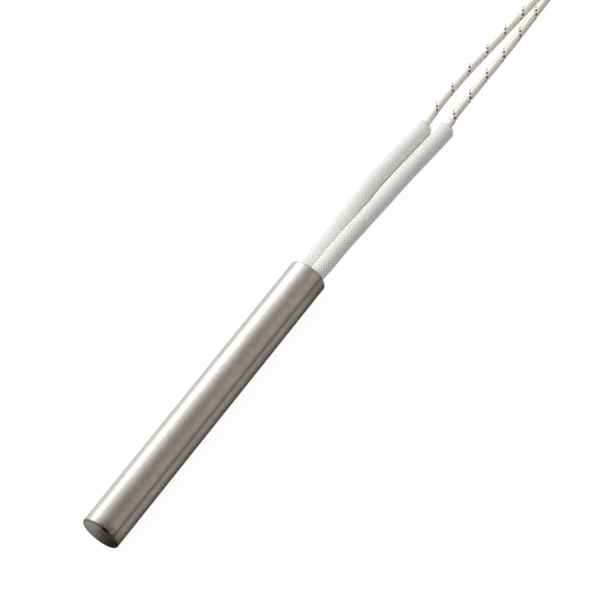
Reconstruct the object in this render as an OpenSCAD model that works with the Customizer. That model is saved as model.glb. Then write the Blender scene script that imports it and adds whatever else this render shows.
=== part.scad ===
// Cartridge heater lying on its side: a closed metal sheath with a wound ceramic
// core packed inside it, and two sleeved leads that run out to a tied hank.
// X runs along the sheath toward the leads, Z is up and the floor is z = 0.

/* [Sheath] */
// Outside diameter of the sheath
sheath_d = 12; // [11.6:0.1:16]
// Length of the sheath from the closed end to the mouth
sheath_l = 100; // [80:1:200]
// Thickness of the sheath's wall
sheath_wall = 0.5; // [0.4:0.05:0.6]
// Chamfer round the closed end
edge_chamfer = 0.4; // [0.2:0.05:0.5]

/* [Closed end] */
// Thickness of the welded end disc
end_disc_t = 2.5; // [1.5:0.5:4]
// Thickness of the insulating disc behind the end disc
bottom_spacer_t = 2.5; // [1:0.5:4]

/* [Heating winding] */
// Diameter of the resistance wire
wire_d = 0.5; // [0.3:0.05:0.5]
// Whole turns of the winding, which ends half a turn later
whole_turns = 29; // [12:1:29]
// Thickness of the packed powder outside the winding
fill_t = 0.8; // [0.6:0.1:1]
// Length at the mouth that has no winding
cold_l = 28; // [26:1:36]
// Diameter of the two terminal pins
pin_d = 1.2; // [1:0.1:1.4]

/* [Leads] */
// Diameter of a lead over its braid
lead_d = 2.5; // [2.2:0.1:2.6]
// Outside diameter of a sleeve where it is free
sleeve_d = 5.2; // [5:0.1:5.3]
// Thickness of a sleeve's wall
sleeve_wall = 0.4; // [0.3:0.05:0.45]
// Angle that the pair of leads is turned about the sheath's axis
pair_tilt = 34; // [20:1:40]
// Stripped length at the end of each lead
bare_l = 7; // [5:1:9]

/* [Tie] */
// Width of the strap round the hank
tie_w = 2.5; // [2:0.25:3]
// Thickness of the strap
tie_t = 0.35; // [0.25:0.05:0.4]

/* [Hidden] */
$fn = 64;

// Clearance between parts that fit inside each other
fit = 0.03;
// Chamfer at the mouth
mouth_chamfer = 0.2;
// How far the seal sits below the mouth
seal_recess = 1;
// Places along the cold end, measured back from the mouth
pin_back = 17.5;
crimp_start_back = 22;
crimp_end_back = 12;
lead_start_back = 11.7;
sleeve_start_back = 10.8;
seal_step_back = 11;
seal_start_back = 23;
// Depth of the short pin in the core, and of the slots for the ends of the wire
short_pin_l = 12;
slot_l = 1.1;
slot_w = 0.9;

sheath_r = sheath_d / 2;
bore_r = sheath_r - sheath_wall;
closed_x = -sheath_l / 2;
mouth_x = sheath_l / 2;
closed_chamfer = min(edge_chamfer, sheath_wall - 0.1);
spacer_x = closed_x + end_disc_t;
core_x = spacer_x + bottom_spacer_t;
core_end_x = mouth_x - cold_l;
core_l = core_end_x - core_x;

// Two sleeves lie side by side in the seal, so its bore sets how thick they are there
sleeve_r = sleeve_d / 2;
seal_wall = 0.3;
between_sleeves = 0.34;
sleeve_seal_r = min(sleeve_r - 0.12, (bore_r - seal_wall - between_sleeves / 2) / 2);
pair_r = sleeve_seal_r + between_sleeves / 2;
pair_y = pair_r * cos(pair_tilt);
pair_z = pair_r * sin(pair_tilt);

wire_r = wire_d / 2;
wire_sides = 6;
turn_steps = 16;
winding_r = bore_r - fit - fill_t - 0.12 - wire_r;
core_r = winding_r - wire_r - 0.13;
fill_in_r = winding_r + wire_r + 0.12;
pin_r = pin_d / 2;
pin_hole_r = pin_r + fit;
lead_r = lead_d / 2;
crimp_r = pin_r + 0.6;
wire_start_x = core_x + slot_l / 2;
wire_end_x = core_end_x - slot_l / 2;
turns = whole_turns + 0.5;

// Height of a free sleeve's and a lead's middle line when they lie on the floor
sleeve_floor_z = sleeve_r + 0.05;
lead_floor_z = lead_r + 0.02;

// Sleeve routes: distance from the mouth, sideways shift, share of the way down
sleeve_a_rows = [[0, 0, 0], [5, 0, 0.02], [16, 0.3, 0.17], [27, 0.7, 0.4], [38, 1, 0.6],
    [48, 0.6, 0.8], [59, -0.2, 0.95], [65.5, -0.6, 1]];
sleeve_b_rows = [[0, 0, 0], [5, -0.2, 0.02], [14, -0.2, 0.12], [25, -0.45, 0.33], [36, -0.7, 0.56],
    [47, -1, 0.76], [58, -1.6, 0.92], [68.5, -2.2, 1]];
// Lead routes past the sleeves, in the same three measures
lead_a_rows = [[74, 0.55, 0.4], [82, 0.7, 0.8], [91, 0.45, 1], [100, -0.2, 1], [110, -0.9, 1],
    [121, -1.7, 1], [131, -2.2, 1]];
lead_b_rows = [[74, -1, 0.3], [82, -0.8, 0.7], [91, -0.7, 1], [100, -0.8, 1], [110, -0.7, 1],
    [121, -0.45, 1], [131, -0.35, 1]];
// How far a lead has moved off the sleeve's middle line at the sleeve's end
lead_shift_y = 0.6;
lead_shift_z = 0.1;

// Hank: one flat turn of both leads, pinched in the middle by the tie
hank_y = 1.3;
hank_gap = 0.15;
hank_near_x = mouth_x + lead_a_rows[len(lead_a_rows) - 1][0] + hank_gap;
loop_r = 4.5 * lead_d + 0.05;
hank_flat = 4 * lead_d;
hank_half_l = 6.7 * lead_d;
hank_x = hank_near_x + hank_flat + hank_half_l;
waist_half = 2 * lead_d + 0.1;
layer_z = lead_d + 0.4;
hank_h = 2 * lead_d + 0.4;
tie_slot = tie_t + 0.05;
bare_r = 0.6;
bare_gap = 0.3;
bare_z = layer_z + lead_r;
bare_a_at = [6 * lead_d, -2.88 * lead_d];
bare_b_at = [lead_d, -1.52 * lead_d];
bare_a_turn = -8;
bare_b_turn = -24;

function unit(v) = v / norm(v);
function lerp(a, b, k) = a + (b - a) * k;
function tangent(p, i) = unit(p[min(i + 1, len(p) - 1)] - p[max(i - 1, 0)]);
function ring(c, t, r, sides) =
    let (side = unit(cross(t, [0, 0, 1])), up = cross(side, t))
    [for (k = [0 : sides - 1])
        let (turn = 360 * (k + 0.5) / sides)
        c + r * (cos(turn) * side + sin(turn) * up)];
function flat(lists) = [for (one = lists) for (item = one) item];
function rings(path, radii, sides) =
    [for (i = [0 : len(path) - 1]) ring(path[i], tangent(path, i), radii[i], sides)];
function band(i, j, sides) =
    flat([for (k = [0 : sides - 1])
        let (n = (k + 1) % sides)
        [[i * sides + k, i * sides + n, j * sides + n], [i * sides + k, j * sides + n, j * sides + k]]]);
// Smooth curve through the points, with two steps from each point to the next
function smooth(p) = concat(
    flat([for (i = [0 : len(p) - 2]) [p[i], between(p, i, 0.5)]]), [p[len(p) - 1]]);
function between(p, i, k) =
    let (a = p[max(i - 1, 0)], b = p[i], c = p[i + 1], d = p[min(i + 2, len(p) - 1)])
    b + 0.5 * k * ((c - a) + k * ((2 * a - 5 * b + 4 * c - d) + k * (3 * (b - c) + d - a)));

// Side is +1 for the lower lead on the left and -1 for the upper one on the right
function mouth_y(side) = side * pair_y;
function mouth_z(side) = sheath_r - side * pair_z;
function sleeve_rows(side) = side > 0 ? sleeve_a_rows : sleeve_b_rows;
function lead_rows(side) = side > 0 ? lead_a_rows : lead_b_rows;
function sleeve_at(side, row) = [mouth_x + row[0], mouth_y(side) + row[1],
    lerp(mouth_z(side), sleeve_floor_z, row[2])];
function sleeve_path(side) = concat(
    [[mouth_x - sleeve_start_back, mouth_y(side), mouth_z(side)]],
    [for (row = sleeve_rows(side)) sleeve_at(side, row)]);
function sleeve_end(side) = let (rows = sleeve_rows(side)) rows[len(rows) - 1][0];
function lead_in_sleeve(side) =
    [for (row = sleeve_rows(side))
        sleeve_at(side, row) + row[0] / sleeve_end(side) * [0, lead_shift_y, lead_shift_z]];
function lead_outside(side) =
    [for (row = lead_rows(side))
        [mouth_x + row[0], mouth_y(side) + row[1],
            lerp(sleeve_floor_z + lead_shift_z, lead_floor_z, row[2])]];
function lead_free(side) = smooth(concat(lead_in_sleeve(side), lead_outside(side)));

// Turns a shape made along Z to run along the sheath's axis from the given place
module along(x) {
    translate([x, 0, sheath_r]) rotate([0, 90, 0]) children();
}

// Puts a shape made along Z on one of the two lead lines
module on_pair(side, x) {
    translate([x, mouth_y(side), mouth_z(side)]) rotate([0, 90, 0]) children();
}

// Closed solid through a list of rings, with flat ends
module solid_tube(path, radii, sides) {
    last = len(path) - 1;
    polyhedron(
        points = flat(rings(path, radii, sides)),
        faces = concat(
            [[for (k = [sides - 1 : -1 : 0]) k]],
            flat([for (i = [0 : last - 1]) band(i, i + 1, sides)]),
            [[for (k = [0 : sides - 1]) last * sides + k]]));
}

// Tube with a bore, made as one skin that goes out along the outside and back inside
module hollow_tube(path, radii, wall, sides) {
    last = len(path) - 1;
    outside = rings(path, radii, sides);
    inside = rings(path, [for (r = radii) r - wall], sides);
    skin = concat(outside, [for (i = [last : -1 : 0]) inside[i]]);
    count = len(skin);
    polyhedron(
        points = flat(skin),
        faces = flat([for (i = [0 : count - 1]) band(i, (i + 1) % count, sides)]));
}

module sheath_tube() {
    color("silver") along(closed_x) rotate_extrude()
        polygon([[bore_r, 0], [sheath_r - closed_chamfer, 0], [sheath_r, closed_chamfer],
            [sheath_r, sheath_l - mouth_chamfer], [sheath_r - mouth_chamfer, sheath_l],
            [bore_r, sheath_l]]);
}

module end_disc() {
    color("silver") along(closed_x) cylinder(r = bore_r - fit, h = end_disc_t);
}

module bottom_spacer() {
    color("ivory") along(spacer_x) cylinder(r = bore_r - fit, h = bottom_spacer_t);
}

// Slot from a pin's hole out to the core's skin, for the end of the wire
module wire_slot(side) {
    rotate([-pair_tilt, 0, 0]) translate([0, side > 0 ? pair_r : -core_r - 1, -slot_w / 2])
        cube([slot_l, core_r + 1 - pair_r, slot_w]);
}

module ceramic_core() {
    color("ivory") difference() {
        along(core_x) cylinder(r = core_r, h = core_l);
        on_pair(-1, core_x - 1) cylinder(r = pin_hole_r, h = core_l + 2);
        on_pair(1, core_end_x - short_pin_l - fit) cylinder(r = pin_hole_r, h = short_pin_l + 1);
        translate([core_x - fit, 0, sheath_r]) wire_slot(-1);
        translate([core_end_x - slot_l + fit, 0, sheath_r]) wire_slot(1);
    }
}

// The wire starts at the long pin by the closed end, winds along the core and comes
// in to the short pin by the mouth, half a turn further round
function wire_point(x, r, turn) = [x, r * cos(turn), sheath_r + r * sin(turn)];
wire_first_turn = 180 - pair_tilt;
wire_tail_r = pair_r + pin_r + 0.05;
wire_steps = turns * turn_steps;
wire_path = concat(
    [wire_point(wire_start_x, wire_tail_r, wire_first_turn)],
    [for (i = [0 : wire_steps])
        wire_point(lerp(wire_start_x, wire_end_x, i / wire_steps), winding_r,
            wire_first_turn + 360 * turns * i / wire_steps)],
    [wire_point(wire_end_x, wire_tail_r, wire_first_turn + 180)]);

// A ring of the wire: its first axis stays along the sheath, so the wire never twists
function wire_ring(p, i) =
    let (t = tangent(p, i), side = unit(cross(cross(t, [1, 0, 0]), t)), up = cross(side, t))
    [for (k = [0 : wire_sides - 1])
        p[i] + wire_r * (cos(360 * k / wire_sides) * side + sin(360 * k / wire_sides) * up)];

module heating_coil() {
    last = len(wire_path) - 1;
    color("dimgray") polyhedron(
        points = flat([for (i = [0 : last]) wire_ring(wire_path, i)]),
        faces = concat(
            [[for (k = [wire_sides - 1 : -1 : 0]) k]],
            flat([for (i = [0 : last - 1]) band(i, i + 1, wire_sides)]),
            [[for (k = [0 : wire_sides - 1]) last * wire_sides + k]]));
}

module magnesia_fill() {
    color("whitesmoke") along(core_x) difference() {
        cylinder(r = bore_r - fit, h = core_l);
        translate([0, 0, -1]) cylinder(r = fill_in_r, h = core_l + 2);
    }
}

module terminal_pin(side, start_x) {
    color("lightgray") on_pair(side, start_x) cylinder(r = pin_r, h = mouth_x - pin_back - start_x);
}

module terminal_pin_a() {
    terminal_pin(1, core_end_x - short_pin_l);
}

module terminal_pin_b() {
    terminal_pin(-1, core_x);
}

module top_spacer() {
    color("ivory") difference() {
        along(core_end_x) cylinder(r = bore_r - fit, h = cold_l - seal_start_back);
        for (side = [-1, 1]) on_pair(side, core_end_x - 1) cylinder(r = pin_hole_r, h = cold_l);
    }
}

module crimp(side) {
    crimp_l = crimp_start_back - crimp_end_back;
    color("gainsboro") on_pair(side, mouth_x - crimp_start_back) difference() {
        cylinder(r = crimp_r, h = crimp_l);
        translate([0, 0, -1]) cylinder(r = pin_hole_r, h = crimp_l + 2);
    }
}

module crimp_a() {
    crimp(1);
}

module crimp_b() {
    crimp(-1);
}

// Potting that closes the mouth: a narrow bore round each crimp, a wide one round each sleeve
module lead_seal() {
    seal_l = seal_start_back - seal_recess;
    color("white") difference() {
        along(mouth_x - seal_start_back) cylinder(r = bore_r - fit, h = seal_l);
        for (side = [-1, 1]) {
            on_pair(side, mouth_x - seal_start_back - 1)
                cylinder(r = max(crimp_r, lead_r) + fit, h = seal_l);
            on_pair(side, mouth_x - seal_step_back) cylinder(r = sleeve_seal_r + fit, h = seal_l);
        }
    }
}

module sleeve(side) {
    path = sleeve_path(side);
    radii = [for (i = [0 : len(path) - 1]) i < 2 ? sleeve_seal_r : sleeve_r];
    color("white") hollow_tube(path, radii, sleeve_wall, 8);
}

module sleeve_a() {
    sleeve(1);
}

module sleeve_b() {
    sleeve(-1);
}

// Bare conductor in the crimp, then the braided lead out to the hank's flat end
module lead(side) {
    free = lead_free(side);
    start = [for (back = [pin_back - 0.5, lead_start_back, lead_start_back])
        [mouth_x - back, mouth_y(side), mouth_z(side)]];
    path = concat(start, free);
    radii = [for (i = [0 : len(path) - 1]) i < 2 ? pin_r : lead_r];
    color("linen") solid_tube(path, radii, 8);
}

module lead_a() {
    lead(1);
}

module lead_b() {
    lead(-1);
}

// Outline of the hank's lower layer: two loops and the pinched middle
module hank_outline() {
    for (end = [-1, 1]) translate([end * hank_half_l, 0]) circle(r = loop_r);
    polygon([[-hank_half_l, -loop_r * 0.97], [-lead_d, -waist_half], [lead_d, -waist_half],
        [hank_half_l, -loop_r * 0.97], [hank_half_l, loop_r * 0.97], [lead_d, waist_half],
        [-lead_d, waist_half], [-hank_half_l, loop_r * 0.97]]);
}

// Outline of the upper layer: the near loop, the middle and the last of the longer strand
module upper_outline() {
    translate([-hank_half_l, 0]) circle(r = loop_r);
    polygon([[-hank_half_l, -loop_r * 0.97], [-lead_d, -waist_half], [lead_d, -waist_half],
        [lead_d, waist_half], [-lead_d, waist_half], [-hank_half_l, loop_r * 0.97]]);
    polygon(lead_d * [[0.9, -1.04], [3.8, -2.3], [6, -3.4], [6, -2.36], [3.8, -1.25], [0.9, 0]]);
}

module lead_hank() {
    near_cut = hank_half_l + hank_flat;
    color("linen") translate([hank_x, hank_y, 0]) difference() {
        union() {
            linear_extrude(layer_z) hank_outline();
            linear_extrude(hank_h) upper_outline();
        }
        translate([-near_cut - 10, -20, -1]) cube([10, 40, hank_h + 2]);
        translate([-tie_w / 2 - 0.1, -20, -1]) cube([tie_w + 0.2, 40, 1 + tie_slot]);
    }
}

module hank_tie() {
    half_y = waist_half + fit;
    head = [3.4, 2.6, 3.6];
    color("whitesmoke") translate([hank_x, hank_y, 0]) {
        difference() {
            translate([-tie_w / 2, -half_y - tie_t, tie_slot - fit - tie_t])
                cube([tie_w, 2 * (half_y + tie_t), hank_h - tie_slot + 2 * (fit + tie_t)]);
            translate([-tie_w, -half_y, tie_slot - fit])
                cube([2 * tie_w, 2 * half_y, hank_h - tie_slot + 2 * fit]);
        }
        translate([-head[0] / 2, half_y + tie_t / 2, 0.8]) cube(head);
    }
}

module bare_end(at, turn) {
    color("silver") translate([hank_x + at[0], hank_y + at[1], bare_z]) rotate([0, 0, turn])
        translate([bare_gap, 0, 0]) rotate([0, 90, 0]) cylinder(r = bare_r, h = bare_l);
}

module bare_end_a() {
    bare_end(bare_a_at, bare_a_turn);
}

module bare_end_b() {
    bare_end(bare_b_at, bare_b_turn);
}

sheath_tube();
end_disc();
bottom_spacer();
ceramic_core();
heating_coil();
magnesia_fill();
terminal_pin_a();
terminal_pin_b();
top_spacer();
crimp_a();
crimp_b();
lead_seal();
sleeve_a();
sleeve_b();
lead_a();
lead_b();
lead_hank();
hank_tie();
bare_end_a();
bare_end_b();
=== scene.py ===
"""Dressed scene of a cartridge heater: ground sheath, braided sleeves and leads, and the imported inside.

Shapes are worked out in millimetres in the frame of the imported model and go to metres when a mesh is
made. X runs along the sheath toward the leads, Z is up and the floor is z = 0.
"""

import logging
import math
from dataclasses import dataclass
from enum import Enum
from functools import reduce

import bpy
import numpy as np
from mathutils import Matrix, Vector

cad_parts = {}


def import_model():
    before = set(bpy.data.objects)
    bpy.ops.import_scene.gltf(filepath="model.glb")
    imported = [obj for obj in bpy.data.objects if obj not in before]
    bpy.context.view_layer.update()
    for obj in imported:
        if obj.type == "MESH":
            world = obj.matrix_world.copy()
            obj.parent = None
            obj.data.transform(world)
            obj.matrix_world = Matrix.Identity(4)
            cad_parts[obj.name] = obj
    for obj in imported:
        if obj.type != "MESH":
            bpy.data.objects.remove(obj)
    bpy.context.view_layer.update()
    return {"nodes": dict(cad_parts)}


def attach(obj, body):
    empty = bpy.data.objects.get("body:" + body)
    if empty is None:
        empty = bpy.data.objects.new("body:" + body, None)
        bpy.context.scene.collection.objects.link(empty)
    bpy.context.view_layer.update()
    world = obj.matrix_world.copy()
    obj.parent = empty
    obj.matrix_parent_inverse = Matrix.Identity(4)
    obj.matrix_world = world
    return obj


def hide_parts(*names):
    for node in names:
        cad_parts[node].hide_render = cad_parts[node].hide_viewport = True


LOG = logging.getLogger("cartridge_heater")
MM = 0.001

Colour = tuple[float, float, float]
Point = tuple[float, float, float]
Levels = tuple[float, float]
# Start and end of a range, and what they become
Range = tuple[float, float, float, float]
Piece = bpy.types.Object
Material = bpy.types.Material
Node = bpy.types.Node
Socket = bpy.types.NodeSocket
Feed = Socket | float | tuple


class Side(Enum):
    """The two leads: the lower one on the left of the mouth and the upper one on the right."""

    A = "a"
    B = "b"

    @property
    def sign(self) -> int:
        """+1 for the left lead and -1 for the right one."""
        return 1 if self is Side.A else -1


class Slot(Enum):
    """Names of the record's material slots."""

    STAINLESS = "stainless"
    NICKEL = "nickel"
    CEMENT = "seal_cement"
    SLEEVE = "sleeve_braid"
    LEAD = "lead_braid"
    NYLON = "tie_nylon"


# Lines and meshes


def rows(*columns: np.ndarray | float) -> np.ndarray:
    """Columns set side by side; a single number fills its whole column."""
    return np.stack(np.broadcast_arrays(*columns), axis=-1)


def smooth_line(points: np.ndarray, steps: int = 12) -> np.ndarray:
    """Smooth curve through points.

    Args:
        points: The points, one row each.
        steps: How many steps lie between one point and the next.

    Returns:
        The points of the curve, one row each.
    """
    padded = np.vstack([points[:1], points, points[-1:]])
    shares = np.linspace(0, 1, steps, endpoint=False)[:, None]
    made = []
    for before, start, end, after in zip(padded, padded[1:], padded[2:], padded[3:]):
        bend = 2 * before - 5 * start + 4 * end - after
        twist = 3 * (start - end) + after - before
        made.append(start + 0.5 * shares * ((end - before) + shares * (bend + shares * twist)))
    return np.vstack([*made, points[-1:]])


def distances(line: np.ndarray) -> np.ndarray:
    """Distance of each point of a line from its first point, measured along the line."""
    return np.append(0, np.cumsum(np.linalg.norm(np.diff(line, axis=0), axis=1)))


def rows_at(line: np.ndarray, places: np.ndarray, values: np.ndarray) -> np.ndarray:
    """Reads rows that go with a line's points at other places along it.

    Args:
        line: The points of the line, one row each.
        places: Distances along the line.
        values: The rows to read, one for each point; the line itself gives points of the line.

    Returns:
        One row for each place.
    """
    along = distances(line)
    return rows(*(np.interp(places, along, column) for column in values.T))


def unit_rows(vectors: np.ndarray) -> np.ndarray:
    """Each row of an array at length one."""
    return vectors / np.linalg.norm(vectors, axis=1, keepdims=True)


def directions(line: np.ndarray) -> tuple[np.ndarray, np.ndarray]:
    """Directions across a line.

    Args:
        line: The points of the line, one row each.

    Returns:
        For each point a level direction to the right of the line, and an upward one.
    """
    ahead = unit_rows(np.gradient(line, axis=0))
    sideways = unit_rows(np.cross(ahead, np.array([0.0, 0.0, 1.0])))
    return sideways, np.cross(sideways, ahead)


def ring_angles(count: int) -> np.ndarray:
    """Angles of the places round a ring."""
    return np.linspace(0, math.tau, count, endpoint=False)


def tube_rings(
    middle: np.ndarray, sideways: np.ndarray, upward: np.ndarray, radii: np.ndarray
) -> np.ndarray:
    """Rings of points round a line.

    Args:
        middle: The middle of each ring.
        sideways: A level direction across the line at each ring.
        upward: The direction at right angles to it.
        radii: The radius at each ring and each place round it.

    Returns:
        An array of rings, places and three numbers.
    """
    turn = ring_angles(radii.shape[1])[:, None]
    spoke = np.cos(turn) * sideways[:, None] + np.sin(turn) * upward[:, None]
    return middle[:, None] + radii[:, :, None] * spoke


def turned_rings(x: np.ndarray, away: np.ndarray, count: int, axis_z: float) -> np.ndarray:
    """Rings of points about the sheath's axis.

    Args:
        x: Place along the axis, as a column or for each point.
        away: Radius of each ring.
        count: How many points each ring has.
        axis_z: Height of the axis.

    Returns:
        An array of rings, places and three numbers.
    """
    turn = ring_angles(count)
    return rows(x, away[:, None] * np.cos(turn), axis_z + away[:, None] * np.sin(turn))


def ring_quads(rings: int, count: int) -> np.ndarray:
    """Faces between rings of points.

    Args:
        rings: How many rings there are.
        count: How many points each ring has.

    Returns:
        The corners of each face, one row each.
    """
    start = np.arange(rings - 1)[:, None] * count
    first = start + np.arange(count)
    second = start + np.roll(np.arange(count), -1)
    return rows(first, second, second + count, first + count).reshape(-1, 4)


def arc(centre: tuple[float, float], radius: float, start: float, end: float, steps: int) -> np.ndarray:
    """Points of a flat arc.

    Args:
        centre: The arc's centre.
        radius: The arc's radius.
        start: The first angle in degrees.
        end: The last angle in degrees.
        steps: How many steps the arc has.

    Returns:
        The points, one row each.
    """
    turn = np.radians(np.linspace(start, end, steps + 1))
    return rows(centre[0] + radius * np.cos(turn), centre[1] + radius * np.sin(turn))


def make_piece(
    name: str,
    skins: list[np.ndarray],
    finish: Material,
    stands_for: tuple[str, ...] = (),
    capped: bool = False,
    values: dict[str, np.ndarray] | None = None,
) -> Piece:
    """Makes a smooth mesh object from rings of points and lets it ride on the part.

    Args:
        name: The piece's name.
        skins: Arrays of rings, places and three numbers in millimetres.
        finish: The piece's material.
        stands_for: The part's solids that it replaces.
        capped: Whether the first and the last ring of each skin are closed.
        values: Named numbers for each point, which materials read.

    Returns:
        The new object.
    """
    points, quads, caps = [], [], []
    start = 0
    for rings in skins:
        count = rings.shape[1]
        points.append(rings.reshape(-1, 3) * MM)
        quads.append(start + ring_quads(len(rings), count))
        if capped:
            ring = start + np.arange(count)
            caps += [ring[::-1], ring + (len(rings) - 1) * count]
        start += len(points[-1])
    corners = np.concatenate([*(faces.ravel() for faces in quads), *caps])
    corner_counts = np.array([4] * sum(map(len, quads)) + [len(cap) for cap in caps])
    mesh = bpy.data.meshes.new(name)
    mesh.vertices.add(start)
    mesh.loops.add(len(corners))
    mesh.polygons.add(len(corner_counts))
    mesh.vertices.foreach_set("co", np.concatenate(points).astype(np.float32).ravel())
    mesh.loops.foreach_set("vertex_index", corners.astype(np.int32))
    mesh.polygons.foreach_set("loop_start", (np.cumsum(corner_counts) - corner_counts).astype(np.int32))
    mesh.update(calc_edges=True)
    mesh.validate()
    mesh.shade_smooth()
    for label, numbers in (values or {}).items():
        attribute = mesh.attributes.new(label, "FLOAT", "POINT")
        attribute.data.foreach_set("value", numbers.astype(np.float32).ravel())
    mesh.materials.append(finish)
    piece = bpy.data.objects.new(name, mesh)
    bpy.context.scene.collection.objects.link(piece)
    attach(piece, "root")
    if stands_for:
        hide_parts(*stands_for)
    LOG.info("%s: %d faces", name, len(mesh.polygons))
    return piece


# Node sheets and shared effects


class Graph:
    """Adds nodes to one node tree and joins them."""

    def __init__(self, tree: bpy.types.NodeTree) -> None:
        """Keeps the tree that nodes go into."""
        self.tree = tree

    def feed(self, target: Socket, value: Feed) -> None:
        """Joins a socket to an input, or sets a plain value on it.

        Args:
            target: The input.
            value: A socket, a number or a colour.
        """
        if isinstance(value, Socket):
            self.tree.links.new(value, target)
        elif target.type == "RGBA":
            target.default_value = (*value, 1.0)
        else:
            target.default_value = value

    def node(self, kind: str, feeds: dict[str | int, Feed] | None = None, **settings: object) -> Node:
        """Adds a node.

        Args:
            kind: Blender's name for the kind of node.
            feeds: What its inputs get, by their name or number.
            settings: Properties of the node and their values.

        Returns:
            The new node.
        """
        made = self.tree.nodes.new(kind)
        for name, value in settings.items():
            setattr(made, name, value)
        for name, value in (feeds or {}).items():
            self.feed(made.inputs[name], value)
        return made

    def math(self, operation: str, *values: Feed, clamp: bool = False) -> Socket:
        """Sum on numbers, by Blender's name for it; clamp keeps the result from 0 to 1."""
        made = self.node("ShaderNodeMath", dict(enumerate(values)), operation=operation, use_clamp=clamp)
        return made.outputs[0]

    def plus(self, first: Feed, second: Feed) -> Socket:
        """Two numbers added."""
        return self.math("ADD", first, second)

    def minus(self, first: Feed, second: Feed) -> Socket:
        """The first number less the second."""
        return self.math("SUBTRACT", first, second)

    def times(self, *values: Feed) -> Socket:
        """Numbers multiplied one after the other."""
        return reduce(lambda first, second: self.math("MULTIPLY", first, second), values)

    def wrap(self, turn: Feed) -> Socket:
        """An angle brought to within half a turn of zero."""
        return self.math("WRAP", turn, math.pi, -math.pi)

    def length(self, first: Feed, second: Feed) -> Socket:
        """Length of a line with two parts at right angles."""
        return self.math("SQRT", self.plus(self.times(first, first), self.times(second, second)))

    def spread(
        self, value: Feed, low: Feed, high: Feed, to_low: Feed = 0.0, to_high: Feed = 1.0
    ) -> Socket:
        """Maps the range from low to high smoothly to the one from to_low to to_high."""
        feeds = {"Value": value, "From Min": low, "From Max": high, "To Min": to_low, "To Max": to_high}
        return self.node("ShaderNodeMapRange", feeds, interpolation_type="SMOOTHSTEP").outputs["Result"]

    def vary(
        self, value: Feed, middle: float, swing: float, low: float = 0.3, high: float = 0.7
    ) -> Socket:
        """A number that swings about a middle one as value goes from low to high."""
        return self.spread(value, low, high, middle - swing, middle + swing)

    def blend(self, share: Feed, first: Feed, second: Feed) -> Socket:
        """Mixes two colours; share says how much of the second there is."""
        return self.node("ShaderNodeMix", {0: share, 6: first, 7: second}, data_type="RGBA").outputs[2]

    def vector(self, x: Feed, y: Feed, z: Feed) -> Socket:
        """Puts three numbers together as a vector."""
        return self.node("ShaderNodeCombineXYZ", {0: x, 1: y, 2: z}).outputs[0]

    def parts(self, vector: Socket) -> tuple[Socket, ...]:
        """Takes a vector apart into three numbers."""
        return tuple(self.node("ShaderNodeSeparateXYZ", {0: vector}).outputs)

    def noise(self, vector: Feed, scale: Feed, detail: float = 3.0) -> Socket:
        """Soft noise from 0 to 1; scale says how fine it is and detail how many finer layers it has."""
        feeds = {"Vector": vector, "Scale": scale, "Detail": detail}
        return self.node("ShaderNodeTexNoise", feeds).outputs["Fac"]

    def place(self) -> Socket:
        """Place on the object, in metres in the part's frame."""
        return self.node("ShaderNodeTexCoord").outputs["Object"]

    def value(self, label: str) -> Socket:
        """A number that the mesh keeps for each point."""
        settings = {"attribute_type": "GEOMETRY", "attribute_name": label}
        return self.node("ShaderNodeAttribute", **settings).outputs["Fac"]

    def bump(self, height: Feed, distance: float, strength: float = 1.0) -> Socket:
        """Turns a height into a normal; a height of 1 stands for distance, in metres."""
        feeds = {"Height": height, "Distance": distance, "Strength": strength}
        return self.node("ShaderNodeBump", feeds).outputs["Normal"]

    def dress(self, shader: Node, colour: Feed, roughness: Feed, normal: Feed) -> None:
        """Joins a finish's colour, roughness and normal to its surface shader."""
        for name, value in (("Base Color", colour), ("Roughness", roughness), ("Normal", normal)):
            self.feed(shader.inputs[name], value)


class Effect(Enum):
    """Effects that more than one finish uses, each kept as a node group."""

    GROUND_LINES = "Ground lines"
    CLOUDS = "Clouds"
    GRAIN = "Grain"
    YARN = "Yarn"
    WELD_HEAT_AND_SHADE = "Weld heat and shade"


def new_group(
    effect: Effect, takes: dict[str, float], gives: tuple[str, ...]
) -> tuple[Graph, dict[str, Socket], dict[str, Socket]]:
    """Starts a node group.

    Args:
        effect: The effect it is for.
        takes: Its inputs and their usual values.
        gives: Its outputs.

    Returns:
        The group's graph, its inputs by name and its outputs by name.
    """
    tree = bpy.data.node_groups.new(effect.value, "ShaderNodeTree")
    for name, usual in takes.items():
        socket = tree.interface.new_socket(name=name, in_out="INPUT", socket_type="NodeSocketFloat")
        socket.default_value = usual
    for name in gives:
        tree.interface.new_socket(name=name, in_out="OUTPUT", socket_type="NodeSocketFloat")
    graph = Graph(tree)
    start = graph.node("NodeGroupInput")
    end = graph.node("NodeGroupOutput")
    return graph, {name: start.outputs[name] for name in takes}, {name: end.inputs[name] for name in gives}


def build_ground_lines() -> None:
    """Makes the fine lines round the sheath's axis and the broad bands among them."""
    usual = {"Axis height": 0.006, "Fineness": 9000.0}
    graph, takes, gives = new_group(Effect.GROUND_LINES, usual, ("Lines", "Bands"))
    band_share = 0.05
    x, y, z = graph.parts(graph.place())
    turn = graph.math("ARCTAN2", graph.minus(z, takes["Axis height"]), y)
    swing = (graph.math("SINE", turn), graph.math("COSINE", turn))
    fine = graph.times(x, takes["Fineness"])
    coarse = graph.times(fine, band_share)
    graph.feed(gives["Lines"], graph.noise(graph.vector(fine, *swing), 1.0, 2.0))
    graph.feed(gives["Bands"], graph.noise(graph.vector(coarse, *swing), 1.0, 3.0))


def build_clouds() -> None:
    """Makes soft clouds that show between two levels of noise."""
    graph, takes, gives = new_group(Effect.CLOUDS, {"Scale": 120.0, "Low": 0.35, "High": 0.65}, ("Mask",))
    soft = graph.noise(graph.place(), takes["Scale"], 4.0)
    graph.feed(gives["Mask"], graph.spread(soft, takes["Low"], takes["High"]))


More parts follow.
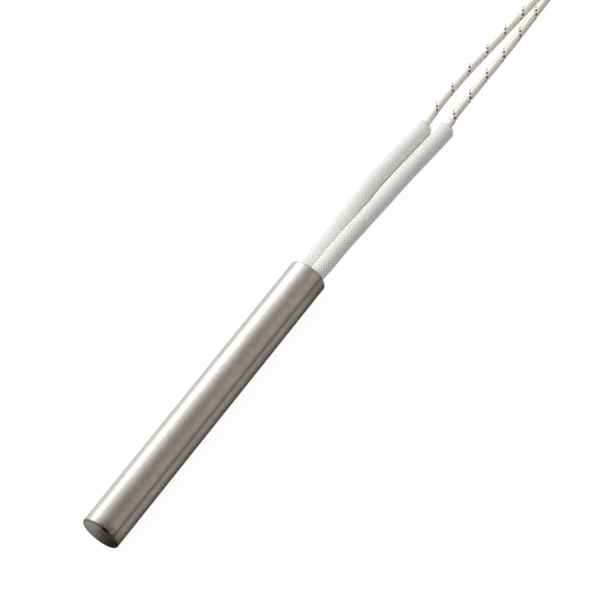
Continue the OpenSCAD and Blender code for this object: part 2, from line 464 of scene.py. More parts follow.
def build_grain() -> None:
    """Makes a fine grain and the rarer specks in it."""
    graph, takes, gives = new_group(Effect.GRAIN, {"Scale": 3000.0}, ("Height", "Speckle"))
    speck_share = 0.4
    speck_levels = (0.56, 0.7)
    graph.feed(gives["Height"], graph.noise(graph.place(), takes["Scale"], 4.0))
    coarse = graph.noise(graph.place(), graph.times(takes["Scale"], speck_share), 2.0)
    graph.feed(gives["Speckle"], graph.spread(coarse, *speck_levels))


def build_yarn() -> None:
    """Makes the filaments along a braid's yarns and the painted shade in the gaps between the yarns."""
    graph, takes, gives = new_group(Effect.YARN, {"Filaments": 5.0}, ("Gap shade", "Filament"))
    stretch = 0.8
    fineness = 1.6
    across = graph.times(graph.value("yarn_across"), takes["Filaments"])
    along = graph.times(graph.value("yarn_along"), stretch)
    graph.feed(gives["Filament"], graph.noise(graph.vector(across, along, 0.0), fineness, 2.0))
    graph.feed(gives["Gap shade"], graph.value("yarn_gap_shade"))


def build_weld_heat_and_shade() -> None:
    """Makes the burnt spot where the closed end's weld stops, and the heat tint, partly painted shade,
    beside it.
    """
    usual = {"End X": -0.05, "Spot turn": 2.0, "Ring radius": 0.0055, "Axis height": 0.006,
             "Radius": 0.001, "Reach": 0.002}
    graph, takes, gives = new_group(Effect.WELD_HEAT_AND_SHADE, usual, ("Heat and shade", "Burn"))
    along_share = 0.75
    across_share = 1.05
    core_share = 0.45
    tint_turn = 0.55
    tint_fade: Range = (0.55, 1.45, 0.95, 0.12)
    mottle_scale = 900.0
    mottle_levels: Range = (0.3, 0.7, 0.55, 1.0)
    x, y, z = graph.parts(graph.place())
    up = graph.minus(z, takes["Axis height"])
    swing = graph.wrap(graph.minus(graph.math("ARCTAN2", up, y), takes["Spot turn"]))
    outward = graph.minus(graph.length(y, up), takes["Ring radius"])
    from_end = graph.minus(x, takes["End X"])
    along = graph.times(swing, takes["Ring radius"], along_share)
    across = graph.times(graph.length(outward, from_end), across_share)
    core = graph.times(takes["Radius"], core_share)
    graph.feed(gives["Burn"], graph.spread(graph.length(along, across), core, takes["Radius"], 1.0, 0.0))
    band = graph.spread(from_end, 0.0, takes["Reach"], 1.0, 0.0)
    # The heat tint is centred past the spot toward the closed end's right corner, where it is also painted
    # shade
    past_spot = graph.math("ABSOLUTE", graph.wrap(graph.minus(swing, tint_turn)))
    mottle = graph.spread(graph.noise(graph.place(), mottle_scale), *mottle_levels)
    graph.feed(gives["Heat and shade"], graph.times(band, graph.spread(past_spot, *tint_fade), mottle))


def place_effect(graph: Graph, effect: Effect, **values: float) -> Node:
    """Puts a shared effect into a material.

    Args:
        graph: The material's graph.
        effect: The effect.
        values: Its inputs, with spaces as underscores.

    Returns:
        The group's node.
    """
    feeds = {name.replace("_", " "): value for name, value in values.items()}
    return graph.node("ShaderNodeGroup", feeds, node_tree=bpy.data.node_groups[effect.value])


def new_material(name: str) -> tuple[Material, Graph, Node]:
    """Starts a material.

    Args:
        name: The material's name.

    Returns:
        The material, its graph and its surface shader.
    """
    material = bpy.data.materials.new(name)
    material.use_nodes = True
    return material, Graph(material.node_tree), material.node_tree.nodes["Principled BSDF"]


# Finishes


@dataclass(frozen=True)
class WeldMark:
    """Place where the end weld stops: a burnt spot, with a band of heat tint beside it that is partly
    painted shade.
    """

    end_x: float
    turn: float
    ring_r: float
    axis_z: float
    radius: float
    reach: float
    burnt: Colour
    heat_tint_and_shade: Colour

    def tint(self, graph: Graph, base: Socket) -> tuple[Socket, Socket]:
        """Colours a metal by the weld's heat, and by painted shade beside the weld.

        Args:
            graph: The metal's graph.
            base: Its colour away from the weld.

        Returns:
            The tinted colour, and how burnt each place is.
        """
        weld = place_effect(
            graph, Effect.WELD_HEAT_AND_SHADE, End_X=self.end_x * MM, Spot_turn=math.radians(self.turn),
            Ring_radius=self.ring_r * MM, Axis_height=self.axis_z * MM, Radius=self.radius * MM,
            Reach=self.reach * MM)
        heat_and_shade_tinted = graph.blend(weld.outputs["Heat and shade"], base, self.heat_tint_and_shade)
        return graph.blend(weld.outputs["Burn"], heat_and_shade_tinted, self.burnt), weld.outputs["Burn"]


@dataclass(frozen=True)
class GroundMetal:
    """Metal with fine lines round the sheath's axis, soft clouds of tint, rare marks and painted shade on
    marked edges.
    """

    name: str
    bright: Colour
    dull: Colour
    stain: Colour
    smooth: float
    rough: float
    fineness: float = 9000.0
    cloud_scale: float = 140.0
    cloud_levels: Levels = (0.38, 0.62)
    patch_share: float = 4.3
    patch_levels: Levels = (0.42, 0.66)
    band_tint: Range = (0.3, 0.7, 0.6, 1.0)
    line_levels: Levels = (0.25, 0.75)
    line_depth: float = 0.000002
    worn_share: float = 0.7
    axis_height: float = 0.006
    # Colour of the painted shade on the edges that the mesh marks
    painted_edge_shade: Colour = (0.12, 0.112, 0.097)
    mark: WeldMark | None = None

    def clouds(self, graph: Graph, share: float, levels: Levels) -> Socket:
        """Soft clouds, finer by share, between two levels."""
        inputs = {"Scale": self.cloud_scale * share, "Low": levels[0], "High": levels[1]}
        return place_effect(graph, Effect.CLOUDS, **inputs).outputs["Mask"]

    def build(self) -> Material:
        """Makes the material.

        Returns:
            The new material.
        """
        material, graph, shader = new_material(self.name)
        ground = place_effect(
            graph, Effect.GROUND_LINES, Axis_height=self.axis_height, Fineness=self.fineness)
        lines = ground.outputs["Lines"]
        patches = self.clouds(graph, self.patch_share, self.patch_levels)
        bands = graph.spread(ground.outputs["Bands"], *self.band_tint)
        tint = graph.times(self.clouds(graph, 1.0, self.cloud_levels), bands)
        body = graph.blend(patches, graph.blend(tint, self.bright, self.dull), self.stain)
        # Painted shade: the colour goes toward a dark tone where the mesh marks an edge
        colour = graph.blend(graph.value("painted_edge_shade"), body, self.painted_edge_shade)
        if self.mark:
            colour = self.mark.tint(graph, colour)[0]
        rough = graph.spread(lines, *self.line_levels, self.smooth, self.rough)
        wear_and_edge_shade = graph.times(patches, (self.rough - self.smooth) * self.worn_share)
        graph.dress(shader, colour, graph.plus(rough, wear_and_edge_shade), graph.bump(lines, self.line_depth))
        shader.inputs["Metallic"].default_value = 1.0
        return material


@dataclass(frozen=True)
class WeldedMetal:
    """Turned end face with a dull weld round its rim and one dark mark where the weld stops."""

    name: str
    bright: Colour
    dull: Colour
    mark: WeldMark
    roughness: float
    weld_roughness: float = 0.12
    burnt_roughness: float = 0.25
    cloud_scale: float = 420.0
    cloud_share: float = 0.5
    grain_scale: float = 5200.0
    grain_depth: float = 0.000004

    def build(self) -> Material:
        """Makes the material.

        Returns:
            The new material.
        """
        material, graph, shader = new_material(self.name)
        clouds = place_effect(graph, Effect.CLOUDS, Scale=self.cloud_scale)
        grain = place_effect(graph, Effect.GRAIN, Scale=self.grain_scale)
        weld = graph.value("weld")
        dulled = graph.math("MAXIMUM", weld, graph.times(clouds.outputs["Mask"], self.cloud_share))
        colour, burn = self.mark.tint(graph, graph.blend(dulled, self.bright, self.dull))
        rough = graph.plus(graph.times(weld, self.weld_roughness), self.roughness)
        rough = graph.plus(rough, graph.times(burn, self.burnt_roughness))
        graph.dress(shader, colour, rough, graph.bump(grain.outputs["Height"], self.grain_depth))
        shader.inputs["Metallic"].default_value = 1.0
        return material


@dataclass(frozen=True)
class GlassBraid:
    """Braided glass fibre: pale yarns of fine filaments, painted shade in the gaps, and a tracer if the mesh
    has one.
    """

    name: str
    pale: Colour
    warm: Colour
    gap_shade: Colour
    tracer: Colour
    gap_shade_share: float
    strand_share: float
    filaments: float
    roughness: float
    sheen: float
    shine: float
    varnish: float
    varnish_roughness: float = 0.35
    cloud_scale: float = 260.0
    strand_levels: Levels = (0.3, 0.5)
    rough_levels: Levels = (0.2, 0.8)
    rough_swing: float = 0.08
    strand_depth: float = 0.00002
    strand_strength: float = 0.6

    def build(self) -> Material:
        """Makes the material.

        Returns:
            The new material.
        """
        material, graph, shader = new_material(self.name)
        yarn = place_effect(graph, Effect.YARN, Filaments=self.filaments)
        clouds = place_effect(graph, Effect.CLOUDS, Scale=self.cloud_scale)
        filament = yarn.outputs["Filament"]
        tracer = graph.value("tracer")
        body = graph.blend(clouds.outputs["Mask"], self.pale, self.warm)
        strand = graph.spread(filament, *self.strand_levels, self.strand_share, 0.0)
        # Painted shade in the gaps between the yarns darkens the yarn colour
        shade = graph.math("ADD", graph.times(yarn.outputs["Gap shade"], self.gap_shade_share), strand, clamp=True)
        colour = graph.blend(tracer, graph.blend(shade, body, self.gap_shade), self.tracer)
        rough = graph.vary(filament, self.roughness, -self.rough_swing, *self.rough_levels)
        graph.dress(shader, colour, rough, graph.bump(filament, self.strand_depth, self.strand_strength))
        shader.inputs["Sheen Weight"].default_value = self.sheen
        shader.inputs["Specular IOR Level"].default_value = self.shine
        if self.varnish:
            graph.feed(shader.inputs["Coat Weight"], graph.spread(tracer, 0.0, 1.0, self.varnish, 0.0))
            shader.inputs["Coat Roughness"].default_value = self.varnish_roughness
        return material


@dataclass(frozen=True)
class FiredCeramic:
    """Dry ceramic, cement or packed powder with a fine grain and a few darker specks."""

    name: str
    pale: Colour
    stained: Colour
    grain_scale: float
    grain_depth: float
    roughness: float
    rough_swing: float = 0.08
    cloud_scale_share: float = 0.1
    cloud_share: float = 0.55
    speck_share: float = 0.3

    def build(self) -> Material:
        """Makes the material.

        Returns:
            The new material.
        """
        material, graph, shader = new_material(self.name)
        grain = place_effect(graph, Effect.GRAIN, Scale=self.grain_scale)
        clouds = place_effect(graph, Effect.CLOUDS, Scale=self.grain_scale * self.cloud_scale_share)
        specks = graph.times(grain.outputs["Speckle"], self.speck_share)
        stain = graph.plus(graph.times(clouds.outputs["Mask"], self.cloud_share), specks)
        height = grain.outputs["Height"]
        rough = graph.vary(height, self.roughness, self.rough_swing)
        colour = graph.blend(stain, self.pale, self.stained)
        graph.dress(shader, colour, rough, graph.bump(height, self.grain_depth))
        return material


@dataclass(frozen=True)
class MouldedNylon:
    """Natural nylon, slightly waxy, with a fine moulded grain."""

    name: str
    pale: Colour
    milky: Colour
    roughness: float
    rough_swing: float = 0.06
    grain_scale: float = 4200.0
    grain_depth: float = 0.000006
    cloud_scale: float = 500.0
    glow_share: float = 0.12
    glow_depth: float = 0.0006

    def build(self) -> Material:
        """Makes the material.

        Returns:
            The new material.
        """
        material, graph, shader = new_material(self.name)
        height = place_effect(graph, Effect.GRAIN, Scale=self.grain_scale).outputs["Height"]
        clouds = place_effect(graph, Effect.CLOUDS, Scale=self.cloud_scale)
        colour = graph.blend(clouds.outputs["Mask"], self.pale, self.milky)
        rough = graph.vary(height, self.roughness, self.rough_swing)
        graph.dress(shader, colour, rough, graph.bump(height, self.grain_depth))
        shader.inputs["Subsurface Weight"].default_value = self.glow_share
        shader.inputs["Subsurface Scale"].default_value = self.glow_depth
        return material


# Sheath and its closed end


@dataclass(frozen=True)
class Sheath:
    """Ground metal tube, rounded over at the closed end, with the welded end disc."""

    diameter: float = 12.0
    length: float = 100.0
    wall: float = 0.5
    edge_r: float = 0.45
    edge_l: float = 0.7
    # Painted shade: how dark the closed end's rounding is made, and how far along the rounding it reaches
    edge_painted_shade: float = 0.85
    edge_painted_shade_share: float = 0.35
    rim_r: float = 0.2
    # Painted shade on the mouth rim
    rim_painted_shade: float = 0.75
    lip: float = 0.1
    bore_in: float = 1.0
    disc_t: float = 2.5
    disc_fit: float = 0.03
    inner_ring_r: float = 0.05
    face_depth: float = 0.03
    face_dish: float = 0.0012
    weld_w: float = 0.7
    weld_groove: float = 0.05
    ripple: float = 0.012
    ripple_count: int = 46
    spot_turn: float = 112.6
    spot_r: float = 1.15
    spot_in: float = 0.02
    spot_dent: float = 0.16
    heat_and_shade_l: float = 4.0
    burnt: Colour = (0.02, 0.017, 0.011)
    # Heat tint by the weld, which also paints shade on the closed end's right corner
    heat_tint_and_shade: Colour = (0.12, 0.11, 0.077)
    ring_points: int = 192

    @property
    def radius(self) -> float:
        """Outside radius, which is also the height of the axis."""
        return self.diameter / 2

    @property
    def bore_r(self) -> float:
        """Radius of the bore."""
        return self.radius - self.wall

    @property
    def mouth_x(self) -> float:
        """Place of the open end along the axis."""
        return self.length / 2

    @property
    def closed_x(self) -> float:
        """Place of the closed end along the axis."""
        return -self.mouth_x

    def mark(self) -> WeldMark:
        """The mark that the end weld leaves."""
        return WeldMark(self.closed_x, self.spot_turn, self.bore_r, self.radius, self.spot_r, self.heat_and_shade_l,
                        self.burnt, self.heat_tint_and_shade)

    def build_tube(self, finish: Material) -> Piece:
        """Makes the tube.

        Args:
            finish: The tube's material.

        Returns:
            The new object.
        """
        closed = arc((0, self.radius - self.edge_r), self.edge_r, 180, 90, 12)
        closed[:, 0] = self.closed_x + self.edge_l * (1 + closed[:, 0] / self.edge_r)
        run = np.linspace(self.closed_x + 1.3 * self.edge_l, self.mouth_x - 2 * self.rim_r, 60)
        rim = arc((self.mouth_x - self.rim_r, self.radius - self.rim_r), self.rim_r, 90, 0, 6)
        lip = [(self.mouth_x, self.bore_r + self.lip), (self.mouth_x - self.lip, self.bore_r)]
        bore = rows(np.linspace(self.mouth_x - self.bore_in, self.closed_x, 12), self.bore_r)
        profile = np.vstack([bore[-1:], closed, rows(run, self.radius), rim, lip, bore])
        # Painted shade: how much each ring's colour is darkened at the mouth rim and over the closed end's
        # rounding
        painted_edge_shade = self.rim_painted_shade * np.clip((profile[:, 0] - self.mouth_x + 2 * self.rim_r) / self.rim_r, 0, 1)
        wear_and_edge_shade = np.clip(np.linspace(1, 0, len(closed)) / self.edge_painted_shade_share, 0, 1)
        painted_edge_shade[1:len(closed) + 1] = self.edge_painted_shade * wear_and_edge_shade
        rings = turned_rings(profile[:, :1], profile[:, 1], self.ring_points, self.radius)
        values = {"painted_edge_shade": np.repeat(painted_edge_shade, self.ring_points)}
        return make_piece("ground_sheath", [rings], finish, ("sheath_tube",), values=values)

    def build_end(self, finish: Material) -> Piece:
        """Makes the end disc with its weld.

        Args:
            finish: The disc's material.

        Returns:
            The new object.
        """
        edge = self.bore_r - self.disc_fit
        face_r = edge - self.weld_w
        away = np.append(np.linspace(self.inner_ring_r, face_r, 18), np.linspace(face_r, edge, 12)[1:])
        share = np.clip((away - face_r) / self.weld_w, 0, 1)
        across = np.sin(math.pi * share)
        depth = self.face_depth + self.face_dish * (edge - away) + self.weld_groove * across**2
        ripples = np.sin(self.ripple_count * ring_angles(self.ring_points))
        x = self.closed_x + depth[:, None] + self.ripple * across[:, None] * ripples
        face = turned_rings(x, away, self.ring_points, self.radius)
        turn = math.radians(self.spot_turn)
        spot_y, spot_z = (self.bore_r - self.spot_in) * np.array([math.cos(turn), math.sin(turn)])
        apart = np.linalg.norm(face - np.array([self.closed_x, spot_y, self.radius + spot_z]), axis=2)
        face[:, :, 0] += self.spot_dent * np.clip(1 - apart / self.spot_r, 0, 1) ** 2
        back = face[-1:].copy()
        back[:, :, 0] = self.closed_x + self.disc_t
        rings = np.concatenate([face, back])
        values = {"weld": np.repeat(np.append(share, 1.0), self.ring_points)}
        return make_piece("welded_end", [rings], finish, ("end_disc",), True, values)


# Braid, sleeves and leads

# Ways past the mouth: distance from it, sideways shift and share of the way down to the floor
SLEEVE_WAYS = {
    Side.A: ((0, 0, 0), (5, 0, 0.02), (16, 0.3, 0.17), (27, 0.7, 0.4), (38, 1, 0.6), (48, 0.6, 0.8),
             (59, -0.2, 0.95), (65.5, -0.6, 1)),
    Side.B: ((0, 0, 0), (5, -0.2, 0.02), (14, -0.2, 0.12), (25, -0.45, 0.33), (36, -0.7, 0.56),
             (47, -1, 0.76), (58, -1.6, 0.92), (68.5, -2.2, 1)),
}
LEAD_WAYS = {
    Side.A: ((74, 0.55, 0.4), (82, 0.7, 0.8), (91, 0.45, 1), (100, -0.2, 1), (110, -0.9, 1),
             (121, -1.7, 1), (131, -2.2, 1)),
    Side.B: ((74, -1, 0.3), (82, -0.8, 0.7), (91, -0.7, 1), (100, -0.8, 1), (110, -0.7, 1),
             (121, -0.45, 1), (131, -0.35, 1)),
}


@dataclass(frozen=True)
class Braid:
    """Plain braid of two sets of yarns that cross one over, one under."""

    carriers: int
    lay: float
    crown: float
    wave: float
    start_turn: float = 0.0
    start_along: float = 0.0
    tracers: tuple[int, ...] = ()

    def relief(self, turn: np.ndarray, along: np.ndarray) -> dict[str, np.ndarray]:
        """Works out the braid's surface.

        Args:
            turn: Angle round the cord.
            along: Distance along the cord.

        Returns:
            The depth below the crowns, and the numbers that the braid's material reads.
        """
        share = (turn - math.radians(self.start_turn)) / math.tau
        travel = (along - self.start_along) / self.lay
        left = self.carriers * (share - travel)
        right = self.carriers * (share + travel)
        left_yarn = np.round(left)
        right_yarn = np.round(right)
        left_wave = self.wave * np.cos(math.pi * (right - left_yarn))
        right_wave = self.wave * np.cos(math.pi * (left - right_yarn))
        left_high = self.crown * (1 - (2 * (left - left_yarn)) ** 2) + left_wave
        right_high = self.crown * (1 - (2 * (right - right_yarn)) ** 2) - right_wave
        on_left = left_high >= right_high
        thickness = self.crown + self.wave
        depth = thickness - np.maximum(left_high, right_high)
        is_tracer = np.isin(np.mod(left_yarn, self.carriers), self.tracers) & on_left
        return {
            "depth": depth,
            # Painted shade between the yarns: deeper places get more of it
            "yarn_gap_shade": np.clip(depth / thickness, 0, 1) ** 2,
            "yarn_across": np.where(on_left, left - left_yarn, right - right_yarn),
            "yarn_along": np.where(on_left, right, left),
            "tracer": is_tracer.astype(float),
        }

    def lay_round(
        self, line: np.ndarray, along: np.ndarray, outer: np.ndarray, shares: np.ndarray, count: int
    ) -> tuple[np.ndarray, np.ndarray, dict[str, np.ndarray]]:
        """Lays the braid round a line.

        Args:
            line: The points of the line.
            along: Distance of each ring along the line.
            outer: Radius over the crowns at each ring.
            shares: How much of its relief the braid shows at each ring.
            count: How many points each ring has.

        Returns:
            The middles of the rings, the rings, and the numbers that the braid's material reads.
        """
        values = self.relief(*np.meshgrid(ring_angles(count), along))
        radii = outer[:, None] - values.pop("depth") * shares[:, None]
        middle = rows_at(line, along, line)
        across = [rows_at(line, along, way) for way in directions(line)]
        return middle, tube_rings(middle, *across, radii), values


@dataclass(frozen=True)
class PairRoute:
    """Middle lines of the two leads and their sleeves, as the part's source lays them."""

    mouth_x: float = 50.0
    axis_z: float = 6.0
    pair_r: float = 2.65
    pair_tilt: float = 34.0
    sleeve_back: float = 10.8
    lead_back: float = 11.7
    core_back: float = 17.0
    sleeve_floor_z: float = 2.65
    lead_floor_z: float = 1.29
    lead_shift: Point = (0.0, 0.6, 0.1)

    def mouth(self, side: Side, back: float = 0.0) -> np.ndarray:
        """Where a lead passes the sheath's mouth.

        Args:
            side: Which lead.
            back: How far inside the mouth the point lies.

        Returns:
            The point.
        """
        turn = math.radians(self.pair_tilt)
        away = side.sign * self.pair_r
        return np.array([self.mouth_x - back, away * math.cos(turn), self.axis_z - away * math.sin(turn)])

    def laid(self, side: Side, way: tuple[Point, ...], high: float, low: float) -> np.ndarray:
        """Turns a way past the mouth into points.

        Args:
            side: Which lead.
            way: Distance from the mouth, sideways shift and share of the way down.
            high: Height at share 0.
            low: Height at share 1.

        Returns:
            The points, one row each.
        """
        x, y, down = np.array(way, float).T
        mouth = self.mouth(side)
        return rows(mouth[0] + x, mouth[1] + y, high + (low - high) * down)

    def sleeve_points(self, side: Side) -> np.ndarray:
        """Points of a sleeve's middle line past the mouth."""
        return self.laid(side, SLEEVE_WAYS[side], self.mouth(side)[2], self.sleeve_floor_z)

    def sleeve_line(self, side: Side) -> np.ndarray:
        """Middle line of a sleeve from inside the sheath to its free end."""
        return smooth_line(np.vstack([self.mouth(side, self.sleeve_back), self.sleeve_points(side)]))

    def lead_points(self, side: Side) -> np.ndarray:
        """Points of a lead's middle line from inside the sheath to where its hank starts.

        Args:
            side: Which lead.

        Returns:
            The points, one row each.
        """
        along = np.array(SLEEVE_WAYS[side], float)[:, :1]
        covered = self.sleeve_points(side) + along / along[-1] * np.array(self.lead_shift)
        free_z = self.sleeve_floor_z + self.lead_shift[2]
        free = self.laid(side, LEAD_WAYS[side], free_z, self.lead_floor_z)
        return np.vstack([self.mouth(side, self.lead_back), covered, free])


@dataclass(frozen=True)
class HankLoops:
    """One lead's loops in the hank, its way under the tie, its end and its sag at the near loop."""

    waist: float
    radius: float
    end_x: float
    end_points: int
    sag: float


HANK_LOOPS = {
    Side.A: HankLoops(waist=1.3, radius=7.5, end_x=15.0, end_points=6, sag=0.35),
    Side.B: HankLoops(waist=3.8, radius=10.0, end_x=2.5, end_points=3, sag=0.8),
}


def ease(share: np.ndarray) -> np.ndarray:
    """Smooth step from 0 to 1."""
    held = np.clip(share, 0, 1)
    return held * held * (3 - 2 * held)


@dataclass(frozen=True)
class Hank:
    """One flat turn of both leads, pinched in the middle by the tie."""

    x: float = 207.9
    y: float = 1.3
    half_l: float = 16.75
    low_z: float = 1.27
    tie_lift: float = 0.38
    tie_reach: float = 4.5
    high_z: float = 3.95
    tie_high_z: float = 4.15
    climb_from: float = 5.0
    climb_l: float = 24.0
    sag_from: float = 0.72
    end_drop: float = 0.25
    end_drop_l: float = 12.0
    enter: tuple[float, ...] = (-21.0, -15.0, -9.0, -4.0, 0.0)

    def swerve(self, own: HankLoops, x: np.ndarray) -> np.ndarray:
        """Distance from the hank's middle line between the tie and a loop.

        Args:
            own: The lead's loops.
            x: Distances from the tie along the hank.

        Returns:
            The distance at each place.
        """
        half_way = self.half_l / 2
        rise = own.radius - own.waist
        bend = (self.half_l**2 + rise**2) / (4 * rise)
        near = own.waist + bend - np.sqrt(bend**2 - np.minimum(x, half_way) ** 2)
        far = own.radius - bend + np.sqrt(bend**2 - np.minimum(self.half_l - x, half_way) ** 2)
        return np.where(x <= half_way, near, far)

    def low_height(self, x: np.ndarray) -> np.ndarray:
        """Height of the lower layer, which is lifted a little where it lies on the tie."""
        return self.low_z + self.tie_lift * np.exp(-((x / self.tie_reach) ** 2))

    def points(self, side: Side) -> np.ndarray:
        """Works out a lead's way through the hank.

        Args:
            side: Which lead.

        Returns:
            The points, one row each, from just inside the hank to the braid's end.
        """
        own = HANK_LOOPS[side]
        enter = np.array(self.enter)
        outward = np.linspace(0, self.half_l, 7)[1:-1]
        back = outward[::-1]
        swung = np.linspace(0, 1, 11)
        far = math.pi * (swung - 0.5)
        near = far + math.pi
        rise = self.high_z - self.low_z
        climb = rise * ease((outward - self.climb_from) / self.climb_l)
        lift = rise * ease((self.half_l - self.climb_from) / self.climb_l + swung)
        sagging = np.clip((swung - self.sag_from) / (1 - self.sag_from), 0, 1)
        top = self.low_z + lift - own.sag * np.sin(math.pi / 2 * sagging) ** 2
        settled = top[-1] + (self.tie_high_z - top[-1]) * ease(1 - back / self.half_l)
        leave = np.linspace(0, 1, own.end_points) * own.end_x
        dropped = self.tie_high_z - self.end_drop * ease(leave / self.end_drop_l)
        runs = [
            rows(enter, -own.waist, self.low_height(enter)),
            rows(outward, -self.swerve(own, outward), self.low_height(outward)),
            rows(self.half_l + own.radius * np.cos(far), own.radius * np.sin(far), self.low_z),
            rows(back, self.swerve(own, back), self.low_height(back)),
            rows([0.0], own.waist, self.low_z + self.tie_lift),
            rows(-outward, self.swerve(own, outward), self.low_height(outward) + climb),
            rows(own.radius * np.cos(near) - self.half_l, own.radius * np.sin(near), top),
            rows(-back, -self.swerve(own, back), settled),
            rows(leave, -self.swerve(own, leave), dropped),
        ]
        return np.vstack(runs) + np.array([self.x, self.y, 0.0])


@dataclass(frozen=True)
class BraidedSleeve:
    """White braided sleeve over one lead at the mouth, drawn in round the lead at its free end."""

    side: Side
    route: PairRoute
    braid: Braid
    radius: float = 2.6
    seal_r: float = 2.48
    swell_l: float = 5.0
    sealed_in: float = 1.0
    nose_l: float = 1.5
    opening_r: float = 1.5
    nose_shift: float = 0.85
    # Rings turned in at the free end: how far in, radius, share of the nose's shift and share of the relief
    tucked: tuple[tuple[float, ...], ...] = (
        (0.25, 1.45, 1, 1), (0.8, 1.5, 1, 0.6), (2, 1.75, 0.6, 0.3), (4, 2.1, 0.3, 0.3))
    ring_points: int = 112
    ring_step: float = 0.17

    def build(self, finish: Material) -> Piece:
        """Makes the sleeve.

        Args:
            finish: The sleeve's material.

        Returns:
            The new object.
        """
        line = self.route.sleeve_line(self.side)
        length = distances(line)[-1]
        mouth = self.route.sleeve_back
        sealed = mouth - self.sealed_in
        shown = np.arange(sealed, length - self.nose_l, self.ring_step)
        run = np.append(np.linspace(0, sealed, 8, endpoint=False), shown)
        bend = np.radians(np.linspace(0, 90, 12))
        nose = length - self.nose_l * (1 - np.sin(bend))
        nose_r = self.radius - (self.radius - self.opening_r) * (1 - np.cos(bend))
        tucked_in, tucked_r, tucked_pull, tucked_share = np.array(self.tucked, float).T
        bare = np.append(run, nose)
        along = np.append(bare, length - tucked_in)
        run_r = np.interp(run, [0, mouth, mouth + self.swell_l], [self.seal_r, self.seal_r, self.radius])
        outer = np.concatenate([run_r, nose_r, tucked_r])
        pull = np.append(np.clip((bare - length) / self.nose_l + 1, 0, 1), tucked_pull)
        shares = np.append(np.clip(bare - sealed + 1, 0, 1), tucked_share)
        rings, values = self.braid.lay_round(line, along, outer, shares, self.ring_points)[1:]
        rings = rings + self.nose_shift * pull[:, None, None] * np.array(self.route.lead_shift)
        name = f"braided_sleeve_{self.side.value}"
        return make_piece(name, [rings], finish, (f"sleeve_{self.side.value}",), values=values)


@dataclass(frozen=True)
class BraidedLead:
    """Braided lead from the crimp to the tied hank, with its stripped end."""

    side: Side
    route: PairRoute
    hank: Hank
    braid: Braid
    bare_turn: float
    radius: float = 1.25
    core_r: float = 0.6
    bare_l: float = 7.0
    bare_in: float = 0.6
    bare_bend_share: float = 0.4
    nose_l: float = 0.35
    sleeve_in: float = 2.5
    length: float = 300.0
    ring_points: int = 60
    ring_step: float = 0.19
    strand_ring: int = 6
    strand_lay: float = 9.0
    strand_points: int = 10

    def line(self) -> np.ndarray:
        """Middle line of the whole braid."""
        return smooth_line(np.vstack([self.route.lead_points(self.side), self.hank.points(self.side)]), 16)

    def build(self, finish: Material) -> tuple[Piece, np.ndarray]:
        """Makes the braided part of the lead.

        Args:
            finish: The braid's material.

        Returns:
            The new object and the middles of its rings.
        """
        line = self.line()
        length = distances(line)[-1]
        covered = self.route.lead_back + SLEEVE_WAYS[self.side][-1][0] - self.sleeve_in
        hidden = np.linspace(0, covered, 70, endpoint=False)
        run = np.append(hidden, np.arange(covered, length - self.nose_l, self.ring_step))
        bend = np.radians(np.linspace(0, 90, 6))
        along = np.append(run, length - self.nose_l * (1 - np.sin(bend)))
        nose_r = self.radius - (self.radius - self.core_r) * (1 - np.cos(bend))
        outer = np.append(np.full_like(run, self.radius), nose_r)
        shares = np.ones_like(along)
        middle, rings, values = self.braid.lay_round(line, along, outer, shares, self.ring_points)
        name = f"braided_lead_{self.side.value}"
        solids = (f"lead_{self.side.value}", "lead_hank")
        return make_piece(name, [rings], finish, solids, True, values), middle

    def strands(
        self, name: str, line: np.ndarray, finish: Material, stands_for: tuple[str, ...] = ()
    ) -> Piece:
        """Makes a short stranded conductor: one strand in the middle and a ring of strands laid round it.

        Args:
            name: The piece's name.
            line: Its middle line.
            finish: Its material.
            stands_for: The part's solids that it replaces.

        Returns:
            The new object.
        """
        places = np.linspace(0, distances(line)[-1], 40)
        middle = rows_at(line, places, line)
        sideways, upward = directions(middle)
        strand_r = self.core_r / 3
        radii = np.full((len(places), self.strand_points), strand_r)
        skins = []
        for strand in range(self.strand_ring + 1):
            away = 2 * strand_r if strand < self.strand_ring else 0.0
            turn = math.tau * (strand / self.strand_ring + places / self.strand_lay)[:, None]
            own = middle + away * (np.cos(turn) * sideways + np.sin(turn) * upward)
            skins.append(tube_rings(own, *directions(own), radii))
        return make_piece(name, skins, finish, stands_for, True)

    def build_ends(self, finish: Material) -> Piece:
        """Makes the conductor in the crimp and the stripped end.

        Args:
            finish: The conductor's material.

        Returns:
            The stripped end.
        """
        backs = (self.route.core_back, self.route.lead_back - self.bare_in)
        inner = np.array([self.route.mouth(self.side, back) for back in backs])
        self.strands(f"crimped_core_{self.side.value}", inner, finish)
        line = self.line()
        ahead = line[-1] - line[-4]
        heading = math.atan2(ahead[1], ahead[0])
        share = np.linspace(0, 1, 15)
        lean = math.radians(self.bare_turn) - heading
        turn = heading + lean * np.minimum(share / self.bare_bend_share, 1)
        step = (self.bare_l + self.bare_in) / (len(share) - 1)
        run = np.cumsum(step * rows(np.cos(turn), np.sin(turn), 0.0)[:-1], axis=0)
        start = line[-1] - self.bare_in * np.array([math.cos(heading), math.sin(heading), 0])
        bare = start + np.vstack([np.zeros(3), run])
        name = f"stripped_end_{self.side.value}"
        return self.strands(name, bare, finish, (f"bare_end_{self.side.value}",))


